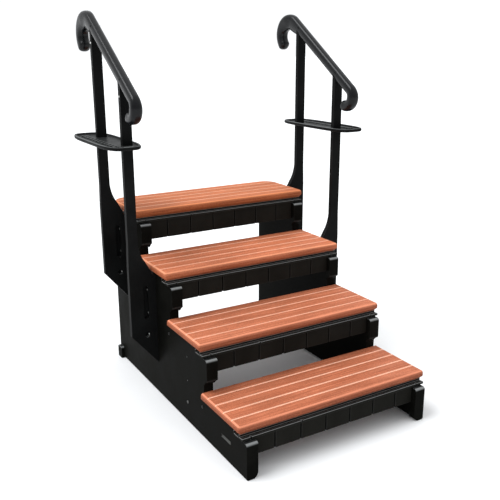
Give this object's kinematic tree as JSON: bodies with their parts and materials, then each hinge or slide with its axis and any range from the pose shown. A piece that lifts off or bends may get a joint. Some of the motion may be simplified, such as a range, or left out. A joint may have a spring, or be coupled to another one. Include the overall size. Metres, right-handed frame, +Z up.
{
  "type": "pool ladder",
  "caption": "Free-standing pool and spa entry steps with grooved composite treads, hollow plastic side panels and two crook-ended handrails, each with a shelf tray.",
  "frame": {"origin": "on the floor, at the middle of the width and of the length from the lowest panels' front faces to the handrails' rear crooks", "axes": "+X to the climber's right, +Y up the steps towards the pool wall, +Z up"},
  "size_m": [1.3, 1.3144, 1.6954],
  "materials": {
    "tread_board": "matte wood-plastic composite, fine grain, routed grooves",
    "frame_plastic": "black moulded plastic, fine texture, satin",
    "rail_plastic": "black moulded plastic, smoother, soft gloss",
    "fastener_steel": "stainless"
  },
  "bodies": {
    "root": {"tread_1": "tread_board", "front_beam_1": "frame_plastic", "rear_beam_1": "frame_plastic", "tread_2": "tread_board", "front_beam_2": "frame_plastic", "rear_beam_2": "frame_plastic", "tread_3": "tread_board", "front_beam_3": "frame_plastic", "rear_beam_3": "frame_plastic", "tread_4": "tread_board", "front_beam_4": "frame_plastic", "rear_beam_4": "frame_plastic", "side_panel_1_right": "frame_plastic", "side_panel_2_right": "frame_plastic", "panel_joint_bolt_2_right": "fastener_steel", "side_panel_3_right": "frame_plastic", "panel_joint_bolt_3_right": "fastener_steel", "side_panel_4_right": "frame_plastic", "panel_joint_bolt_4_right": "fastener_steel", "rear_pad_right": "frame_plastic", "side_bolt_2_right": "fastener_steel", "post_front_right": "rail_plastic", "foot_bolt_front_1_right": "fastener_steel", "foot_bolt_front_2_right": "fastener_steel", "foot_bolt_front_3_right": "fastener_steel", "rail_screw_front_right": "fastener_steel", "post_rear_right": "rail_plastic", "foot_bolt_rear_1_right": "fastener_steel", "foot_bolt_rear_2_right": "fastener_steel", "foot_bolt_rear_3_right": "fastener_steel", "rail_screw_rear_right": "fastener_steel", "handrail_right": "rail_plastic", "tray_right": "rail_plastic", "side_panel_1_left": "frame_plastic", "side_panel_2_left": "frame_plastic", "panel_joint_bolt_2_left": "fastener_steel", "side_panel_3_left": "frame_plastic", "panel_joint_bolt_3_left": "fastener_steel", "side_panel_4_left": "frame_plastic", "panel_joint_bolt_4_left": "fastener_steel", "rear_pad_left": "frame_plastic", "side_bolt_2_left": "fastener_steel", "post_front_left": "rail_plastic", "foot_bolt_front_1_left": "fastener_steel", "foot_bolt_front_2_left": "fastener_steel", "foot_bolt_front_3_left": "fastener_steel", "rail_screw_front_left": "fastener_steel", "post_rear_left": "rail_plastic", "foot_bolt_rear_1_left": "fastener_steel", "foot_bolt_rear_2_left": "fastener_steel", "foot_bolt_rear_3_left": "fastener_steel", "rail_screw_rear_left": "fastener_steel", "handrail_left": "rail_plastic", "tray_left": "rail_plastic"}
  },
  "joints": []
}
